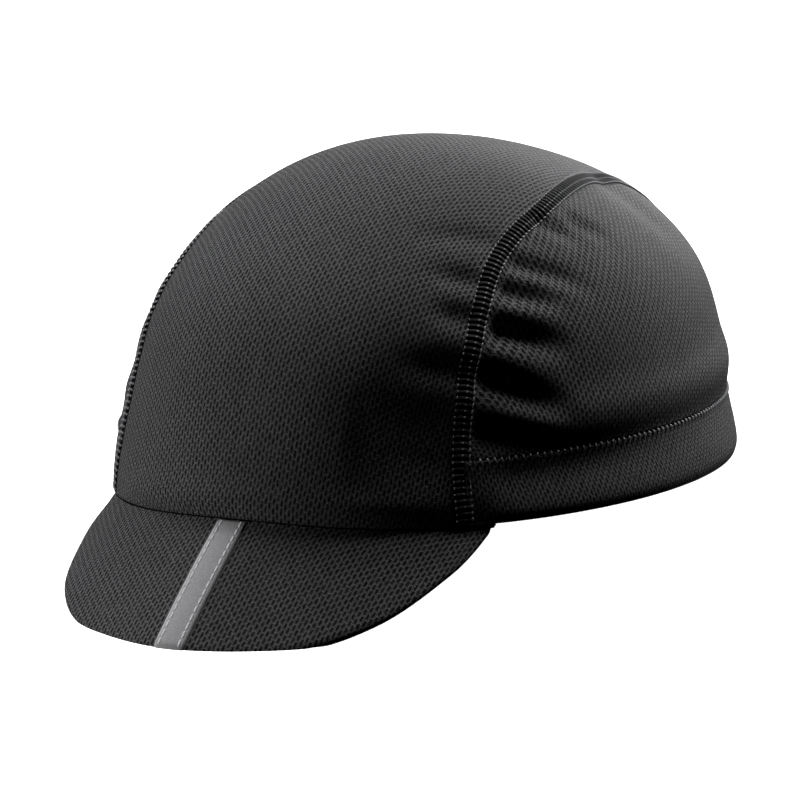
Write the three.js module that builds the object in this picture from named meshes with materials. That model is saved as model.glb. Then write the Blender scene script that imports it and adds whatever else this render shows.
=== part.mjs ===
// A soft three-panel cycling cap with a short curved peak, resting on a surface by itself.
// Lengths are in millimetres and angles in degrees. The cap is drawn as it is worn, with its hem
// level, its front towards -Y and the wearer's left towards +X, and then tipped onto its peak.
import * as THREE from "three";

// Driving sizes of the crown, measured outside the cloth
const hemHalfWidth = 79;
const hemHalfLength = 100;
const crownHeight = 90;
const clothWall = 1.2;
const frontHemArch = 2.5;
const frontHemArchSpread = 26;

// How the crown fills out above the hem: one row for each 18 degrees of rise, from hem to top, with
// its width as a share of hemHalfWidth and its front and rear lengths as shares of hemHalfLength
const sectionStep = 18;
const crownSections = [
  { width: 1.0, front: 1.0, rear: 1.0 },
  { width: 0.99, front: 0.96, rear: 1.13 },
  { width: 1.03, front: 0.97, rear: 1.25 },
  { width: 1.06, front: 0.94, rear: 1.24 },
  { width: 1.13, front: 0.93, rear: 1.06 },
  { width: 1.18, front: 0.93, rear: 0.93 },
];

// The seam on each side, as the half angle that the centre panel spans: one row for each 20 degrees
// over the head, from the front hem to the back hem
const seamStep = 20;
const seamRows = [
  { half: 42.8 },
  { half: 41.1 },
  { half: 38.3 },
  { half: 34.4 },
  { half: 32.9 },
  { half: 28.4 },
  { half: 23.5 },
  { half: 19.5 },
  { half: 17.0 },
  { half: 16.0 },
];
const seamGap = 0.35;

// The cloth just above the peak rolls out, and tucks in at the hem itself
const frontLip = { out: 1.1, height: 5, spread: 3.6, tuck: 1.3, tuckSpread: 1.9, fadeTurn: 42 };

// The elastic band round the back: a turned hem that draws the cloth in at its upper edge
const bandHeight = 16.5;
const bandThickness = 2.4;
// Its section, from the inside top round the bottom to the outside top. Height is a share of
// bandHeight, and depth into the cap and roll out of it are shares of bandThickness.
const bandSection = [
  { height: 1.0, depth: 1.0, roll: -0.2 },
  { height: 0.6, depth: 1.0, roll: 0.0 },
  { height: 0.2, depth: 0.9, roll: 0.15 },
  { height: 0.04, depth: 0.72, roll: 0.06 },
  { height: 0.0, depth: 0.58, roll: 0.0 },
  { height: 0.0, depth: 0.0, roll: 0.08 },
  { height: 0.05, depth: 0.0, roll: 0.3 },
  { height: 0.17, depth: 0.0, roll: 0.42 },
  { height: 0.4, depth: 0.0, roll: 0.2 },
  { height: 0.7, depth: 0.0, roll: -0.14 },
  { height: 1.0, depth: 0.0, roll: -0.4 },
];
// The cloth above the band: pinched in at the stitches, then blousing out
const blouse = { pinch: 1.0, pinchSpread: 3.5, out: 0.9, height: 9, spread: 5, fadeFrom: 44, fadeTo: 70 };
// The turns between which the band's roll and pinch fade in behind the seam, and how much farther
// back that happens on the far side
const rollFade = { from: 43.5, to: 53, farSide: 14 };
// Towards the temples the band and the cloth above it draw in to a waist, which fades out rearward
const waist = { depth: 1.7, height: 12, spread: 5.2, fadeFrom: 62, fadeTo: 100 };

// Folds gathered at the seams, a row each, from one place on the crown to another. A place is its
// turn from the front and its rise from the hem. Width and depth are shares of foldSize, and a
// negative depth is a ridge. The far side has the same folds, milder.
const foldSize = 5;
const farSideShare = 0.12;
const folds = [
  { turn: 71, rise: 52.5, toTurn: 83, toRise: 45, width: 0.8, depth: 0.24 },
  { turn: 82.5, rise: 51, toTurn: 92, toRise: 45, width: 0.8, depth: 0.16 },
  { turn: 59.5, rise: 44.3, toTurn: 79, toRise: 35.8, width: 0.75, depth: 0.36 },
  { turn: 55, rise: 39.2, toTurn: 70, toRise: 34.6, width: 0.75, depth: 0.4 },
  { turn: 52.3, rise: 32.2, toTurn: 69, toRise: 26.3, width: 0.9, depth: 0.64 },
  { turn: 49, rise: 23.6, toTurn: 68, toRise: 14.5, width: 0.95, depth: 0.6 },
  { turn: 47.5, rise: 14.6, toTurn: 68, toRise: 10.5, width: 0.9, depth: 0.42 },
  { turn: 118, rise: 56, toTurn: 120, toRise: 34, width: 1.8, depth: 0.22 },
  { turn: 52, rise: 50, toTurn: 28, toRise: 52, width: 0.9, depth: 0.2 },
  { turn: 46.5, rise: 42, toTurn: 33, toRise: 44, width: 0.8, depth: 0.26 },
  { turn: 44.5, rise: 35, toTurn: 35, toRise: 36.5, width: 0.8, depth: 0.26 },
  { turn: 43, rise: 25.5, toTurn: 27, toRise: 27.5, width: 1, depth: 0.32 },
  { turn: 36, rise: 15, toTurn: 35, toRise: 3, width: 3, depth: 0.44 },
  { turn: 18, rise: 21, toTurn: 28, toRise: 20, width: 4, depth: -0.36 },
];

// The peak: a stiffened flap of two cloths, sewn under the front hem
const peakThickness = 2.4;
const peakAhead = 30.8;
const peakDrop = 25.8;
const peakCornerTurn = 48.3;
const peakCornerThickness = 0.9;
const peakCrown = 0.8;
// Its free edge from the middle to a corner, in even steps: the distance across as a share of the
// corner's, the distance ahead of the corner as a share of the middle's, the drop as a share of
// peakDrop
const peakEdge = [
  { across: 0.0, ahead: 1.0, drop: 1.0 },
  { across: 0.505, ahead: 0.875, drop: 0.975 },
  { across: 0.8, ahead: 0.635, drop: 0.755 },
  { across: 0.942, ahead: 0.285, drop: 0.4 },
  { across: 0.983, ahead: 0.05, drop: 0.14 },
  { across: 1.0, ahead: 0.0, drop: 0.03 },
];
// The peak's section from its root to its free edge: how far along, and how much of its thickness
const peakSection = [
  { along: 0.0, thickness: 1.0 },
  { along: 0.14, thickness: 1.0 },
  { along: 0.3, thickness: 1.0 },
  { along: 0.48, thickness: 1.0 },
  { along: 0.66, thickness: 1.0 },
  { along: 0.82, thickness: 1.0 },
  { along: 0.95, thickness: 1.0 },
  { along: 0.985, thickness: 0.8 },
  { along: 1.0, thickness: 0.4 },
];

// The reflective strip sewn down the middle of the peak
const stripWidth = 8.5;
const stripThickness = 0.4;
const stripStart = 0.05;
const stripEnd = 0.975;

// How far the cloth flattens where the cap stands on its peak and its back hem
const floorPress = 0.6;

// How finely the pieces are divided
const centreRows = 34;
const centreCrowding = 1.35;
const centreColumns = 14;
const sideColumns = 48;
const sideRows = 12;
const sideEndRise = 3;
const bandColumns = 60;
const peakColumns = 28;
const stripRows = 9;
const normalStep = 0.5;

const radians = THREE.MathUtils.degToRad;
const degrees = THREE.MathUtils.radToDeg;
const { lerp, clamp, smoothstep } = THREE.MathUtils;
const bell = (distance, spread) => Math.exp(-((distance / spread) ** 2));

// A smooth curve through one column of evenly spaced rows. It starts level where flatStart is set
// and ends level where flatEnd is set.
function through(rows, column, position, flatStart = false, flatEnd = false) {
  const last = rows.length - 1;
  const place = clamp(position, 0, last - 1e-9);
  const low = Math.floor(place);
  const part = place - low;
  const value = (row) => rows[clamp(row, 0, last)][column];
  const slope = (row) => {
    if (row === 0) return flatStart ? 0 : value(1) - value(0);
    if (row === last) return flatEnd ? 0 : value(last) - value(last - 1);
    return (value(row + 1) - value(row - 1)) / 2;
  };
  const p2 = part * part;
  const p3 = p2 * part;
  return (2 * p3 - 3 * p2 + 1) * value(low) + (p3 - 2 * p2 + part) * slope(low)
    + (3 * p2 - 2 * p3) * value(low + 1) + (p3 - p2) * slope(low + 1);
}

// Directions from the middle of the hem: by turn from the front and rise from the hem
function byTurn(turn, rise) {
  const level = Math.cos(radians(rise));
  return new THREE.Vector3(
    level * Math.sin(radians(turn)),
    -level * Math.cos(radians(turn)),
    Math.sin(radians(rise)),
  );
}

// or by angle over the head from the front hem, and angle out to the side
function byOver(over, side) {
  const middle = Math.cos(radians(side));
  return new THREE.Vector3(
    Math.sin(radians(side)),
    -middle * Math.cos(radians(over)),
    middle * Math.sin(radians(over)),
  );
}

const turnOf = (direction) => degrees(Math.atan2(direction.x, -direction.y));
const riseOf = (direction) => degrees(Math.asin(clamp(direction.z, -1, 1)));

// The smooth crown without its folds
function smoothCrown(direction) {
  const level = Math.max(Math.hypot(direction.x, direction.y), 1e-9);
  const rise = degrees(Math.atan2(direction.z, level)) / sectionStep;
  const width = through(crownSections, "width", rise, false, true);
  const front = through(crownSections, "front", rise, false, true);
  const rear = through(crownSections, "rear", rise, false, true);
  const length = (front + rear) / 2 + ((rear - front) / 2) * (direction.y / level);
  const arch = frontHemArch * bell(turnOf(direction), frontHemArchSpread) * level ** 4;
  return new THREE.Vector3(
    hemHalfWidth * width * direction.x,
    hemHalfLength * length * direction.y,
    crownHeight * direction.z + arch,
  );
}

function crownNormal(direction) {
  const sideways = new THREE.Vector3(0, 0, 1).cross(direction);
  if (sideways.length() < 1e-3) sideways.set(1, 0, 0);
  sideways.normalize();
  const upward = new THREE.Vector3().crossVectors(direction, sideways).normalize();
  const reach = radians(normalStep);
  const across = (axis) => {
    const ahead = direction.clone().addScaledVector(axis, reach).normalize();
    const behind = direction.clone().addScaledVector(axis, -reach).normalize();
    return smoothCrown(ahead).sub(smoothCrown(behind));
  };
  return across(sideways).cross(across(upward)).normalize();
}

// One fold's push on a point of the smooth crown
function foldAt(point, fold, side) {
  const start = smoothCrown(byTurn(fold.turn * side, fold.rise));
  const end = smoothCrown(byTurn(fold.toTurn * side, fold.toRise));
  const run = end.sub(start);
  const offset = point.clone().sub(start);
  const along = clamp(offset.dot(run) / run.lengthSq(), 0, 1);
  const away = offset.addScaledVector(run, -along).length() / (fold.width * foldSize);
  const fade = 1 - smoothstep(along, 0.25, 1);
  return -fold.depth * foldSize * fade * (1 - away * away / 2) * Math.exp(-away * away);
}

// How fully the band gathers the cloth at a turn from the front
const gatheredAt = (turn) => smoothstep(turn, blouse.fadeFrom, blouse.fadeTo);

// How much of the near side's folds a turn has. Turns are negative on the far side.
const sideShare = (turn) => (turn < 0 ? farSideShare : 1);

// How fully the band rolls and pinches
function rollAt(turn) {
  const late = turn < 0 ? rollFade.farSide : 0;
  return smoothstep(Math.abs(turn) - late, rollFade.from, rollFade.to);
}

// How deep the waist is at a turn from the front and a height above the hem
function waistAt(turn, height) {
  const fade = 1 - smoothstep(Math.abs(turn), waist.fadeFrom, waist.fadeTo);
  return waist.depth * rollAt(turn) * fade * sideShare(turn) * bell(height - waist.height, waist.spread);
}

// The lip over the peak, the blousing and waist above the band and the folds, as one distance out
function reliefAt(direction, point) {
  const turn = turnOf(direction);
  const height = crownHeight * direction.z;
  let out = 0;
  const lip = 1 - smoothstep(Math.abs(turn), frontLip.fadeTurn / 2, frontLip.fadeTurn);
  out += lip * frontLip.out * bell(height - frontLip.height, frontLip.spread);
  out -= lip * frontLip.tuck * bell(height, frontLip.tuckSpread);
  const aboveBand = height - bandHeight;
  out += gatheredAt(Math.abs(turn)) * blouse.out * bell(aboveBand - blouse.height, blouse.spread);
  out -= rollAt(turn) * blouse.pinch * bell(aboveBand, blouse.pinchSpread);
  out -= waistAt(turn, height);
  const side = turn < 0 ? -1 : 1;
  for (const fold of folds) out += sideShare(turn) * foldAt(point, fold, side);
  return out;
}

// The cap stands on the lowest part of its peak's edge and on its back hem
const frontCorner = smoothCrown(byTurn(peakCornerTurn, 0));
const peakTipY = -hemHalfLength - peakAhead;
const restPitch = Math.atan2(peakDrop, hemHalfLength - peakTipY);
const restHeight = hemHalfLength * Math.sin(restPitch) - floorPress;
const floorNormal = new THREE.Vector3(0, -Math.sin(restPitch), Math.cos(restPitch));

function pressOnFloor(point) {
  const height = point.dot(floorNormal) + restHeight;
  return height < 0 ? point.addScaledVector(floorNormal, -height) : point;
}

// A closed solid from a grid of outer points and a grid of inner points. Seen from outside, columns
// run to the right and rows run up.
function thickSheet(columns, rows, outerAt, innerAt) {
  const positions = [];
  const across = columns + 1;
  const layer = across * (rows + 1);
  for (const pointAt of [outerAt, innerAt]) {
    for (let row = 0; row <= rows; row++) {
      for (let column = 0; column <= columns; column++) {
        positions.push(...pressOnFloor(pointAt(column, row)).toArray());
      }
    }
  }
  const outer = (column, row) => row * across + column;
  const inner = (column, row) => layer + outer(column, row);
  const index = [];
  const quad = (a, b, c, d) => index.push(a, b, c, a, c, d);
  for (let row = 0; row < rows; row++) {
    for (let column = 0; column < columns; column++) {
      quad(outer(column, row), outer(column + 1, row), outer(column + 1, row + 1), outer(column, row + 1));
      quad(inner(column, row), inner(column, row + 1), inner(column + 1, row + 1), inner(column + 1, row));
    }
    quad(inner(0, row), outer(0, row), outer(0, row + 1), inner(0, row + 1));
    quad(outer(columns, row), inner(columns, row), inner(columns, row + 1), outer(columns, row + 1));
  }
  for (let column = 0; column < columns; column++) {
    quad(inner(column, 0), inner(column + 1, 0), outer(column + 1, 0), outer(column, 0));
    quad(outer(column, rows), outer(column + 1, rows), inner(column + 1, rows), inner(column, rows));
  }
  return closedGeometry(positions, index);
}

function closedGeometry(positions, index) {
  const geometry = new THREE.BufferGeometry();
  geometry.setAttribute("position", new THREE.Float32BufferAttribute(positions, 3));
  geometry.setIndex(index);
  geometry.computeVertexNormals();
  return geometry;
}

// A sheet of cloth that follows the crown, from directions laid out in columns and rows
function crownSheet(columns, rows, directionAt) {
  const at = (depth) => (column, row) => {
    const direction = directionAt(column / columns, row / rows);
    const point = smoothCrown(direction);
    const out = reliefAt(direction, point) - depth;
    return point.addScaledVector(crownNormal(direction), out);
  };
  return thickSheet(columns, rows, at(0), at(clothWall));
}

const degreesOut = (length) => degrees(length / hemHalfWidth);
const bandRise = degrees(Math.asin(bandHeight / crownHeight));
const seamHalf = (over) => through(seamRows, "half", over / seamStep);

// The angle over the head at which a line at this side angle comes down to this rise at the back
function overAtBack(side, rise) {
  return 180 - degrees(Math.asin(Math.sin(radians(rise)) / Math.cos(radians(side))));
}

// The centre panel runs from the front hem over the head to the band. Its rows lie closer together
// at the front, where the hem rolls.
function centrePanel() {
  const bottom = bandRise + degreesOut(seamGap / 2);
  return crownSheet(centreColumns, centreRows, (across, up) => {
    const along = up ** centreCrowding;
    const roughOver = 180 * along;
    const rough = (across * 2 - 1) * seamHalf(roughOver);
    const over = along * overAtBack(rough, bottom);
    const side = (across * 2 - 1) * (seamHalf(over) - degreesOut(seamGap / 2));
    return byOver(over, side);
  });
}

// A side panel hangs from the seam to the band. Its columns join the two, and its first and last
// columns lie along the seam's own ends.
function sidePanel(side) {
  const bottom = bandRise + degreesOut(seamGap / 2);
  const seamPlace = (over) => byOver(over, seamHalf(over) + degreesOut(seamGap / 2));
  const overWhere = (rise, hem) => {
    let low = hem;
    let high = 90;
    for (let halving = 0; halving < 40; halving++) {
      const middle = (low + high) / 2;
      if (riseOf(seamPlace(middle)) < rise) low = middle;
      else high = middle;
    }
    return low;
  };
  const topFront = overWhere(bottom + sideEndRise, 0);
  const topBack = overWhere(bottom + sideEndRise, 180);
  const footFront = turnOf(seamPlace(overWhere(bottom, 0)));
  const footBack = turnOf(seamPlace(overWhere(bottom, 180)));
  return crownSheet(sideColumns, sideRows, (across, up) => {
    const along = side > 0 ? across : 1 - across;
    const foot = byTurn(lerp(footFront, footBack, along), bottom);
    const top = seamPlace(lerp(topFront, topBack, along));
    const direction = foot.lerp(top, up).normalize();
    direction.x *= side;
    return direction;
  });
}

// The band is its section swept round the back from seam to seam
function rearBand() {
  const start = seamRows[0].half + degreesOut(seamGap);
  const topHeight = bandHeight - seamGap / 2;
  const positions = [];
  for (let column = 0; column <= bandColumns; column++) {
    const turn = lerp(start, 360 - start, column / bandColumns);
    const fromFront = turn > 180 ? turn - 360 : turn;
    const rolled = rollAt(fromFront);
    for (const { height, depth, roll } of bandSection) {
      const direction = byTurn(turn, degrees(Math.asin((height * topHeight) / crownHeight)));
      const out = bandThickness * (roll * rolled - depth) - waistAt(fromFront, height * topHeight);
      const point = smoothCrown(direction).addScaledVector(crownNormal(direction), out);
      positions.push(...pressOnFloor(point).toArray());
    }
  }
  const points = bandSection.length;
  const at = (column, point) => column * points + (point % points);
  const index = [];
  for (let column = 0; column < bandColumns; column++) {
    for (let point = 0; point < points; point++) {
      index.push(at(column, point), at(column + 1, point), at(column + 1, point + 1));
      index.push(at(column, point), at(column + 1, point + 1), at(column, point + 1));
    }
  }
  const outline = bandSection.map(({ height, depth }) => new THREE.Vector2(-depth, height));
  for (const [a, b, c] of THREE.ShapeUtils.triangulateShape(outline, [])) {
    index.push(at(0, a), at(0, b), at(0, c));
    index.push(at(bandColumns, a), at(bandColumns, c), at(bandColumns, b));
  }
  return closedGeometry(positions, index);
}

// The peak's middle surface: sideways from -1 to 1 between its corners, along from 0 at the root
function peakMiddle(sideways, along) {
  const corner = Math.abs(sideways);
  const thickness = peakThicknessAt(sideways);
  const direction = byTurn(sideways * peakCornerTurn, 0);
  const root = smoothCrown(direction).addScaledVector(crownNormal(direction), -clothWall);
  root.z -= seamGap + thickness / 2;
  const place = corner * (peakEdge.length - 1);
  const reach = frontCorner.y - peakTipY;
  const edge = new THREE.Vector3(
    Math.sign(sideways) * frontCorner.x * through(peakEdge, "across", place),
    frontCorner.y - reach * through(peakEdge, "ahead", place, true),
    -peakDrop * through(peakEdge, "drop", place, true),
  );
  const middle = root.lerp(edge, along);
  middle.z += peakCrown * 4 * along * (1 - along) * (1 - corner ** 4);
  return middle;
}

function peakThicknessAt(sideways) {
  return lerp(peakThickness, peakCornerThickness, Math.abs(sideways) ** 6);
}

function peakNormal(sideways, along) {
  const step = 0.01;
  const near = clamp(sideways, -0.98, 0.98);
  const across = peakMiddle(near + step, along).sub(peakMiddle(near - step, along));
  const outward = peakMiddle(near, along + step).sub(peakMiddle(near, along - step));
  return outward.cross(across).normalize();
}

function peakSurface(sideways, along, height) {
  return peakMiddle(sideways, along).addScaledVector(peakNormal(sideways, along), height);
}

function peak() {
  const rows = peakSection.length - 1;
  const at = (sign) => (column, row) => {
    const sideways = 1 - (2 * column) / peakColumns;
    const { along, thickness } = peakSection[row];
    return peakSurface(sideways, along, (sign * thickness * peakThicknessAt(sideways)) / 2);
  };
  return thickSheet(peakColumns, rows, at(1), at(-1));
}

// The strip lies on the peak's upper cloth, a small gap above it
function reflectiveStrip() {
  const at = (height) => (column, row) => {
    const along = lerp(stripStart, stripEnd, row / stripRows);
    const target = stripWidth * (0.5 - column / 2);
    const spread = peakMiddle(0.02, along).x / 0.02;
    return peakSurface(target / spread, along, peakThickness / 2 + seamGap + height);
  };
  return thickSheet(2, stripRows, at(stripThickness), at(0));
}

const clothMaterial = () => new THREE.MeshStandardMaterial({ color: 0x151516, roughness: 0.85 });
const stripMaterial = () => new THREE.MeshStandardMaterial({ color: 0x8a8a8a, roughness: 0.45 });

function named(name, geometry, material) {
  const mesh = new THREE.Mesh(geometry, material);
  mesh.name = name;
  return mesh;
}

// The worn cap, tipped onto its peak
const worn = new THREE.Group();
worn.add(
  named("centre_panel", centrePanel(), clothMaterial()),
  named("side_panel_left", sidePanel(1), clothMaterial()),
  named("side_panel_right", sidePanel(-1), clothMaterial()),
  named("rear_band", rearBand(), clothMaterial()),
  named("peak", peak(), clothMaterial()),
  named("reflective_strip", reflectiveStrip(), stripMaterial()),
);
worn.rotation.x = -restPitch;
worn.position.z = restHeight;

// The origin is under the middle of the whole cap
const cap = new THREE.Group();
cap.add(worn);
cap.updateMatrixWorld(true);
const extent = new THREE.Box3().setFromObject(cap, true);
cap.position.x = -(extent.min.x + extent.max.x) / 2;
cap.position.y = -(extent.min.y + extent.max.y) / 2;

export default cap;
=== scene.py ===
"""A black three-panel cycling cap, resting on its peak and its back hem.

Lengths are in millimetres and angles in degrees until a mesh is made, which is in metres. The cap is
drawn as it is worn, with its hem level, its front towards -Y and the wearer's left towards +X, and
is then tipped onto its peak, as the frame has it.
"""
import math

import bpy
import numpy as np
from mathutils import Matrix, Vector


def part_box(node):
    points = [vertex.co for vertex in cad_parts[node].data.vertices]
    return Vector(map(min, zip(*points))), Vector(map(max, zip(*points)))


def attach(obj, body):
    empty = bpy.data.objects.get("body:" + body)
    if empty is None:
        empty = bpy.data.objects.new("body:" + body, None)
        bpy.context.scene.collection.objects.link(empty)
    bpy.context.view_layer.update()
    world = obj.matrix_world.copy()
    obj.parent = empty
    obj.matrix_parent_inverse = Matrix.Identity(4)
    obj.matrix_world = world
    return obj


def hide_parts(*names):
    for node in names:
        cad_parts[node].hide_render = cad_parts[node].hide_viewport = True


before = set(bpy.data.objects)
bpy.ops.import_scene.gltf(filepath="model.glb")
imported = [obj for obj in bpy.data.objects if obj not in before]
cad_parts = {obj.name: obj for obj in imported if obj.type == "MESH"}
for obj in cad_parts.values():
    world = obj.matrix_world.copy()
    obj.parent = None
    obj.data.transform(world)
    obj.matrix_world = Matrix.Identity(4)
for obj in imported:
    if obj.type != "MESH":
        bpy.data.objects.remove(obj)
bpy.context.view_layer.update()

MM = 0.001

# The crown's driving sizes, as in the frame
HEM_HALF_WIDTH = 79.0
HEM_HALF_LENGTH = 100.0
CROWN_HEIGHT = 90.0
CLOTH_WALL = 1.2
FRONT_HEM_ARCH = 2.5
FRONT_HEM_ARCH_SPREAD = 26.0

# A row for each 18 degrees of rise from the hem: width, front and rear as shares of the hem's
SECTION_STEP = 18.0
CROWN_SECTIONS = {
    "width": (1.0, 0.99, 1.03, 1.06, 1.13, 1.18),
    "front": (1.0, 0.96, 0.97, 0.94, 0.93, 0.93),
    "rear": (1.0, 1.13, 1.25, 1.24, 1.06, 0.93),
}

# The half angle that the centre panel spans, a row for each 20 degrees over the head
SEAM_STEP = 20.0
SEAM_HALF = (42.8, 41.1, 38.3, 34.4, 32.9, 28.4, 23.5, 19.5, 17.0, 16.0)
SEAM_GAP = 0.35
# The seams' stitches stop this many degrees of rise above the band
FOOT_RISE = 0.1

# The hem is tucked in a little less than the frame's, as in the photo
FRONT_LIP = {"out": 1.1, "height": 5.0, "spread": 3.6, "tuck": 0.6, "tuck_spread": 1.6, "fade_turn": 42.0}
BAND_HEIGHT = 16.5
BAND_THICKNESS = 2.4
BAND_RISE = math.degrees(math.asin(BAND_HEIGHT / CROWN_HEIGHT))
BLOUSE = {"pinch": 1.0, "pinch_spread": 3.5, "out": 0.9, "height": 9.0, "spread": 5.0}
GATHER_FROM, GATHER_TO = 44.0, 70.0
# Towards the temples the band and the cloth above it draw in to a waist
WAIST = {"depth": 1.7, "height": 12.0, "spread": 5.2, "starts": (43.5, 53.0), "ends": (62.0, 100.0)}

# The band's section: height as a share of BAND_HEIGHT, depth and roll as shares of BAND_THICKNESS
BAND_SECTION = (
    (1.0, 1.0, -0.2),
    (0.6, 1.0, 0.0),
    (0.2, 0.9, 0.15),
    (0.04, 0.72, 0.06),
    (0.0, 0.58, 0.0),
    (0.0, 0.0, 0.08),
    (0.05, 0.0, 0.3),
    (0.17, 0.0, 0.42),
    (0.4, 0.0, 0.2),
    (0.7, 0.0, -0.14),
    (1.0, 0.0, -0.4),
)

# Folds gathered at the seams: turn and rise where each starts and ends, then its width and depth as
# shares of FOLD_SIZE. A negative depth is a ridge.
FOLD_SIZE = 5.0
FAR_SIDE_SHARE = 0.12
FAR_SIDE_FADE = 14.0
FOLDS = (
    (71.0, 52.5, 83.0, 45.0, 0.8, 0.24),
    (82.5, 51.0, 92.0, 45.0, 0.8, 0.16),
    (59.5, 44.3, 79.0, 35.8, 0.75, 0.36),
    (55.0, 39.2, 70.0, 34.6, 0.75, 0.4),
    (52.3, 32.2, 69.0, 26.3, 0.9, 0.64),
    (49.0, 23.6, 68.0, 14.5, 0.95, 0.6),
    (47.5, 14.6, 68.0, 10.5, 0.9, 0.42),
    (118.0, 56.0, 120.0, 34.0, 1.8, 0.22),
    (52.0, 50.0, 28.0, 52.0, 0.9, 0.2),
    (46.5, 42.0, 33.0, 44.0, 0.8, 0.26),
    (44.5, 35.0, 35.0, 36.5, 0.8, 0.26),
    (43.0, 25.5, 27.0, 27.5, 1.0, 0.32),
    (36.0, 15.0, 35.0, 3.0, 3.0, 0.44),
    (18.0, 21.0, 28.0, 20.0, 4.0, -0.36),
)

# The peak's sizes and its free edge from the middle to a corner. The corners are drawn in a little more
# than the frame's, as in the photo.
PEAK_THICKNESS = 2.4
PEAK_AHEAD = 30.8
PEAK_DROP = 25.8
PEAK_CORNER_TURN = 48.3
PEAK_CORNER_THICKNESS = 0.9
PEAK_CROWN = 0.8
PEAK_ACROSS = (0.0, 0.505, 0.8, 0.942, 0.972, 0.97)
PEAK_REACH = (1.0, 0.875, 0.635, 0.285, 0.05, 0.0)
PEAK_FALL = (1.0, 0.975, 0.755, 0.4, 0.14, 0.03)

# As shares of the peak's run from its root: how far the root is tucked in under the crown, where its
# even rows end, and how long its rounded rim is. The rim keeps a share of the thickness.
PEAK_TUCK = -0.1
EVEN_ROWS_END = 0.93
PEAK_ROUND = 0.05
PEAK_EDGE_SHARE = 0.4

# The tape, which goes on past the rim by STRIP_WRAP, a share of the peak's run
STRIP_WIDTH = 8.5
STRIP_LENGTH = 41.0
STRIP_WRAP = 0.004
TAPE_THICKNESS = 0.28

# How far the cap sinks onto the table before it is pressed flat there
FLOOR_PRESS = 0.6

# The mesh knit: slits in columns, every second column half a pitch down. The side panels' knit is
# stretched across its columns, which lean towards the back by the grain angle.
MESH_COLUMN = 1.12
MESH_PITCH = 2.3
HOLE_WIDTH = 0.5
HOLE_HEIGHT = 1.5
HOLE_SLANT = 0.05
LOOPS_A_SLIT = 3
LOOP_SLOPE = 1.3
SIDE_GRAIN = 17.0
SIDE_STRETCH = 1.15
BAND_GRAIN = 8.0
PEAK_STRETCH = 1.04
CLOTH_TONE = 0.15
# SLIT_SHADE is the near-black painted into the slits: the shade seen through the knit's holes, which are
# not cut through.
SLIT_SHADE = 0.0002

# How the knit wanders across and along its columns: the noise's scale, and its reach in millimetres
KNIT_SWAY = (0.9, 0.6)
KNIT_ROCK = (1.1, 0.7)

# The grid that is laid flat, how often its lengths are eased, and how strongly each time
FLAT_ROWS, FLAT_COLUMNS = 41, 25
EASE_TURNS = 700
EASE_PULL = 1.6

THREAD_SIDES = 6
THREAD_END_TAPER = 0.45
SEAM_PITCH = 1.65
SEAM_HALF_WIDTH = 2.1

# Stitches of one repeat: where each starts and ends across the seam, in millimetres from its middle,
# and along it, as shares of the pitch. Lift is above the cloth and arch is the rise in mid-stitch.
CROSS_THREADS = (
    (-2.0, -0.18, 0.3, -0.04),
    (-2.0, 0.02, 0.3, 0.14),
    (0.3, -0.04, 2.0, -0.28),
    (0.3, 0.14, 2.0, -0.08),
)
CROSS_THREAD = {"lift": 0.24, "arch": 0.12, "radius": 0.15}
# The flatlock's black threads that catch the light, whose sheen is painted in as a light grey.
SHEEN_THREADS = (
    (-2.15, -0.2, -2.2, 0.12),
    (0.15, -0.12, 0.45, 0.1),
    (2.1, -0.38, 2.2, 0.2),
)
SHEEN_THREAD = {"lift": 0.28, "arch": 0.12, "radius": 0.19}
TAPE_STITCH = {"length": 2.1, "gap": 0.45, "inset": 1.35, "start": 0.004, "slant": 0.12, "arch": 0.02}
TAPE_THREAD = {"radius": 0.34, "flatten": 0.2}
BAND_STITCH = {"start": 3.0, "pitch": 2.2, "below": 0.9, "length": 1.1, "slant": 0.12}
BAND_THREAD = {"lift": 0.12, "arch": 0.22, "radius": 0.28}

# Turned-in edges: turns round the hem, heights above it, and depths under the crown's face
EDGE_WALL = 0.35
BAND_EDGE = (
    np.linspace(SEAM_HALF[0] + 0.6, 359.4 - SEAM_HALF[0], 400),
    BAND_HEIGHT + np.linspace(-1.6, 1.6, 7),
    0.4,
)
# The peak's edge sits close under the hem, so that its near-black painted shade shows as the dark line
# between the hem and the peak.
PEAK_EDGE = (
    np.linspace(-PEAK_CORNER_TURN, PEAK_CORNER_TURN, 160),
    np.array([-0.6, -0.3, 0.0, 0.1, 0.12, 1.0, 2.0, 3.0, 4.0]),
    np.array([0.3, 0.3, 0.3, 0.35, 1.3, 1.4, 1.4, 1.4, 1.4]),
)

# The photo's camera, in the worn cap's degrees and millimetres
CAMERA_TURN = 30.61
CAMERA_RISE = 9.93
CAMERA_ROLL = -1.17
CAMERA_DISTANCE = 1300.0
CAMERA_AIM = (0.0, 0.0, 45.0)
CAMERA_OFFSET = (-6.62, -27.33)
PIXELS_PER_MM = 3.671
PICTURE_WIDTH = 800
SENSOR_WIDTH = 36.0

# Soft boxes, named as the camera sees them: azimuth and elevation, width and height in metres, watts.
# Azimuth 0 is in front of the cap, and 90 at the wearer's left.
LIGHT_DISTANCE = 1.5
LIGHT_AIM = (0.0, 0.0, 0.05)
LIGHTS = {
    "top_back": (170, 52, 0.9, 0.9, 21),
    "back": (195, 18, 0.7, 0.7, 7.5),
    "low_back": (180, 5, 1.0, 0.3, 6.5),
    "left_back": (254, 34, 0.7, 0.7, 7.5),
    "left": (300, 5, 1.0, 0.3, 11.4),
}
TABLE_WASH = (0, 89, 3.0, 3.0, 150)
TABLE_WASH_DISTANCE = 2.2


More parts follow.
